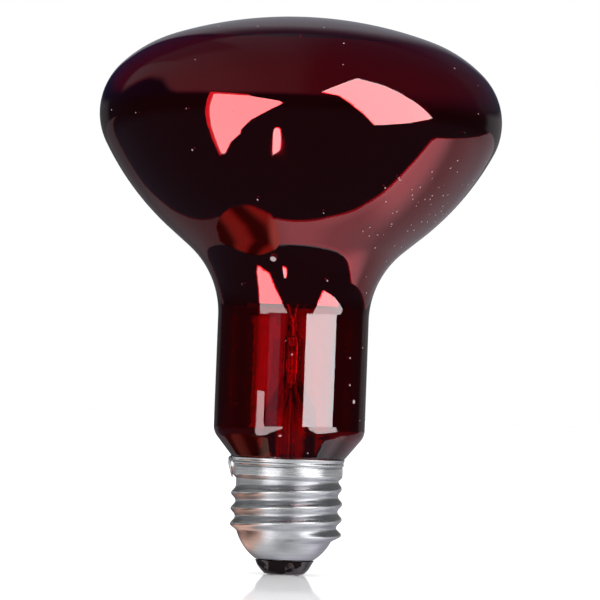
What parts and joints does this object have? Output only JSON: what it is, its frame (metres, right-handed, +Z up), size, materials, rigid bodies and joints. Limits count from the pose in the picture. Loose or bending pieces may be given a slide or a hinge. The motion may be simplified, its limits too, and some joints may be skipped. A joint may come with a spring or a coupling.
{
  "type": "infrared reflector heat lamp",
  "caption": "Red glass infrared reflector lamp with a domed face, an aluminised cone, a clear neck and a rolled aluminium E27 screw cap.",
  "frame": {"origin": "centre of the tip contact's flat face, the lowest point of the screw cap", "axes": "+Z up the lamp's axis towards the domed face, -X towards the side solder on the cap's rim, +Y completes the right-handed frame"},
  "size_m": [0.095, 0.095, 0.1308],
  "materials": {
    "red_glass": "polished",
    "reflector": "polished",
    "cap_metal": "satin",
    "black_glass": "gloss",
    "contact_metal": "satin",
    "solder": "satin",
    "cement": "matte",
    "clear_glass": "polished",
    "copper_wire": "satin",
    "nickel_wire": "satin",
    "tungsten_wire": "satin",
    "support_wire": "satin"
  },
  "bodies": {
    "root": {"bulb_glass": "red_glass", "reflector_film": "reflector", "screw_shell": "cap_metal", "cap_insulator": "black_glass", "centre_contact": "contact_metal", "tip_solder": "solder", "side_solder": "solder", "basing_cement": "cement", "glass_stem": "clear_glass", "exhaust_tube": "clear_glass", "arbor_rod": "clear_glass", "tip_lead": "copper_wire", "side_lead": "copper_wire", "seal_wire_front": "copper_wire", "seal_wire_back": "copper_wire", "inner_lead_front": "nickel_wire", "inner_lead_back": "nickel_wire", "filament": "tungsten_wire", "filament_clamp_front": "nickel_wire", "filament_clamp_back": "nickel_wire", "support_wire_1": "support_wire", "support_wire_2": "support_wire", "support_wire_3": "support_wire", "support_wire_4": "support_wire"}
  },
  "joints": []
}
